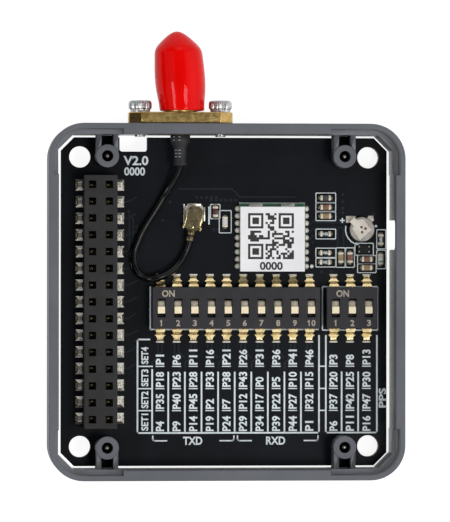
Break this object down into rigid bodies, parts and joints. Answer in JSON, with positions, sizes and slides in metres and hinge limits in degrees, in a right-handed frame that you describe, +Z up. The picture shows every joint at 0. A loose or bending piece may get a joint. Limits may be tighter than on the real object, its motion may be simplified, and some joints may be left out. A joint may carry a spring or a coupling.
{
  "type": "gps module",
  "caption": "Stackable satellite positioning module: black board in a square grey frame with slide switches, receiver can, pin bus and a capped antenna jack.",
  "frame": {"origin": "centre of the four stacking holes, on the underside of the circuit board", "axes": "+Z up through the stacking holes, out of the populated side; +Y along the antenna jack, out of the frame; +X to the right with the bus connectors on the left"},
  "size_m": [0.054, 0.0681, 0.013],
  "materials": {
    "frame_plastic": "fine matte moulded",
    "solder_mask": "satin mask on glass fibre board",
    "steel": "bright plated",
    "connector_plastic": "moulded",
    "gold_plate": "gold plated",
    "jack_brass": "turned and plated",
    "insulator_plastic": "white",
    "cap_vinyl": "soft glossy vinyl",
    "shrink_tube": "shrunk tube",
    "lead_jacket": "satin jacket",
    "plug_metal": "plated sheet",
    "tin": "tinned",
    "switch_plastic": "moulded",
    "slider_plastic": "cream",
    "green_board": "mask on glass fibre board",
    "shield_metal": "tinned sheet",
    "label_film": "printed film",
    "chip_resin": "moulded resin",
    "cell_steel": "stainless",
    "resistor_glaze": "glazed",
    "capacitor_body": "fired body",
    "inductor_body": "fired body",
    "lamp_resin": "clear cast resin"
  },
  "bodies": {
    "module": {"frame": "frame_plastic", "circuit_board": "solder_mask", "board_screws": "steel", "bus_socket_housing": "connector_plastic", "bus_socket_contacts": "gold_plate", "bus_pin_strip": "connector_plastic", "bus_pins": "gold_plate", "antenna_jack_shell": "jack_brass", "antenna_jack_insulator": "insulator_plastic", "antenna_jack_contact": "gold_plate", "flange_screws": "steel", "shrink_sleeve": "shrink_tube", "coax_lead": "lead_jacket", "coax_plug": "plug_metal", "coax_receptacle_base": "insulator_plastic", "coax_receptacle_shell": "tin", "ten_way_base": "switch_plastic", "ten_way_cover": "switch_plastic", "ten_way_leads": "gold_plate", "three_way_base": "switch_plastic", "three_way_cover": "switch_plastic", "three_way_leads": "gold_plate", "receiver_board": "green_board", "receiver_shield": "shield_metal", "receiver_label": "label_film", "receiver_terminals": "tin", "receiver_chip": "chip_resin", "receiver_crystal": "shield_metal", "receiver_filter": "chip_resin", "backup_cell": "cell_steel", "cell_upper_tab": "cell_steel", "cell_lower_tab": "cell_steel", "chip_resistors": "resistor_glaze", "chip_capacitors": "capacitor_body", "chip_inductors": "inductor_body", "chip_end_caps": "tin", "status_lamp": "lamp_resin", "load_switch": "chip_resin"},
    "dust_cap": {"dust_cap": "cap_vinyl"},
    "ten_way_slider_1": {"ten_way_slider_1": "slider_plastic"},
    "ten_way_slider_2": {"ten_way_slider_2": "slider_plastic"},
    "ten_way_slider_3": {"ten_way_slider_3": "slider_plastic"},
    "ten_way_slider_4": {"ten_way_slider_4": "slider_plastic"},
    "ten_way_slider_5": {"ten_way_slider_5": "slider_plastic"},
    "ten_way_slider_6": {"ten_way_slider_6": "slider_plastic"},
    "ten_way_slider_7": {"ten_way_slider_7": "slider_plastic"},
    "ten_way_slider_8": {"ten_way_slider_8": "slider_plastic"},
    "ten_way_slider_9": {"ten_way_slider_9": "slider_plastic"},
    "ten_way_slider_10": {"ten_way_slider_10": "slider_plastic"},
    "three_way_slider_1": {"three_way_slider_1": "slider_plastic"},
    "three_way_slider_2": {"three_way_slider_2": "slider_plastic"},
    "three_way_slider_3": {"three_way_slider_3": "slider_plastic"}
  },
  "joints": [
    {"name": "dust_cap_pull", "type": "slide", "parent": "module", "child": "dust_cap", "axis": [0, 1, 0], "range_m": [0, 0.012]},
    {"name": "ten_way_slider_1_slide", "type": "slide", "parent": "module", "child": "ten_way_slider_1", "axis": [0, 1, 0], "range_m": [0, 0.001]},
    {"name": "ten_way_slider_2_slide", "type": "slide", "parent": "module", "child": "ten_way_slider_2", "axis": [0, 1, 0], "range_m": [0, 0.001]},
    {"name": "ten_way_slider_3_slide", "type": "slide", "parent": "module", "child": "ten_way_slider_3", "axis": [0, 1, 0], "range_m": [0, 0.001]},
    {"name": "ten_way_slider_4_slide", "type": "slide", "parent": "module", "child": "ten_way_slider_4", "axis": [0, 1, 0], "range_m": [0, 0.001]},
    {"name": "ten_way_slider_5_slide", "type": "slide", "parent": "module", "child": "ten_way_slider_5", "axis": [0, 1, 0], "range_m": [0, 0.001]},
    {"name": "ten_way_slider_6_slide", "type": "slide", "parent": "module", "child": "ten_way_slider_6", "axis": [0, 1, 0], "range_m": [0, 0.001]},
    {"name": "ten_way_slider_7_slide", "type": "slide", "parent": "module", "child": "ten_way_slider_7", "axis": [0, 1, 0], "range_m": [0, 0.001]},
    {"name": "ten_way_slider_8_slide", "type": "slide", "parent": "module", "child": "ten_way_slider_8", "axis": [0, 1, 0], "range_m": [0, 0.001]},
    {"name": "ten_way_slider_9_slide", "type": "slide", "parent": "module", "child": "ten_way_slider_9", "axis": [0, 1, 0], "range_m": [0, 0.001]},
    {"name": "ten_way_slider_10_slide", "type": "slide", "parent": "module", "child": "ten_way_slider_10", "axis": [0, 1, 0], "range_m": [0, 0.001]},
    {"name": "three_way_slider_1_slide", "type": "slide", "parent": "module", "child": "three_way_slider_1", "axis": [0, 1, 0], "range_m": [0, 0.001]},
    {"name": "three_way_slider_2_slide", "type": "slide", "parent": "module", "child": "three_way_slider_2", "axis": [0, 1, 0], "range_m": [0, 0.001]},
    {"name": "three_way_slider_3_slide", "type": "slide", "parent": "module", "child": "three_way_slider_3", "axis": [0, 1, 0], "range_m": [0, 0.001]}
  ]
}
